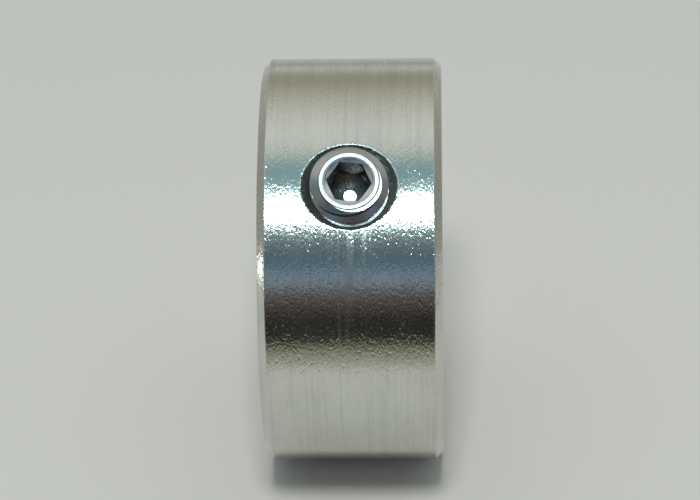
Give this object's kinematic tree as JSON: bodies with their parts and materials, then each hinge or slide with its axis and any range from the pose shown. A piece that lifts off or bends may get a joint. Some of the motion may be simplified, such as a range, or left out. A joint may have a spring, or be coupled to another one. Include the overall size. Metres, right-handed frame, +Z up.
{
  "type": "shaft collar",
  "caption": "Solid shaft collar: a chamfered steel ring with a plain bore, clamped by a hexagon-socket cup-point set screw in its rim.",
  "frame": {"origin": "on the axis of the bore, midway between the two faces", "axes": "+X along the bore; -Y the side that the set screw faces, 54 degrees above the horizontal; +Z up when the collar stands on its rim"},
  "size_m": [0.014, 0.032, 0.032],
  "materials": {
    "collar_steel": "bright turned stainless steel, fine circumferential tool lines",
    "screw_steel": "bright smooth stainless steel"
  },
  "bodies": {
    "collar": {"collar": "collar_steel"},
    "set_screw": {"set_screw": "screw_steel"}
  },
  "joints": [
    {"name": "screw_travel", "type": "slide", "parent": "collar", "child": "set_screw", "axis": [0, -0.5878, 0.809], "range_m": [-0.001, 0.003]}
  ]
}
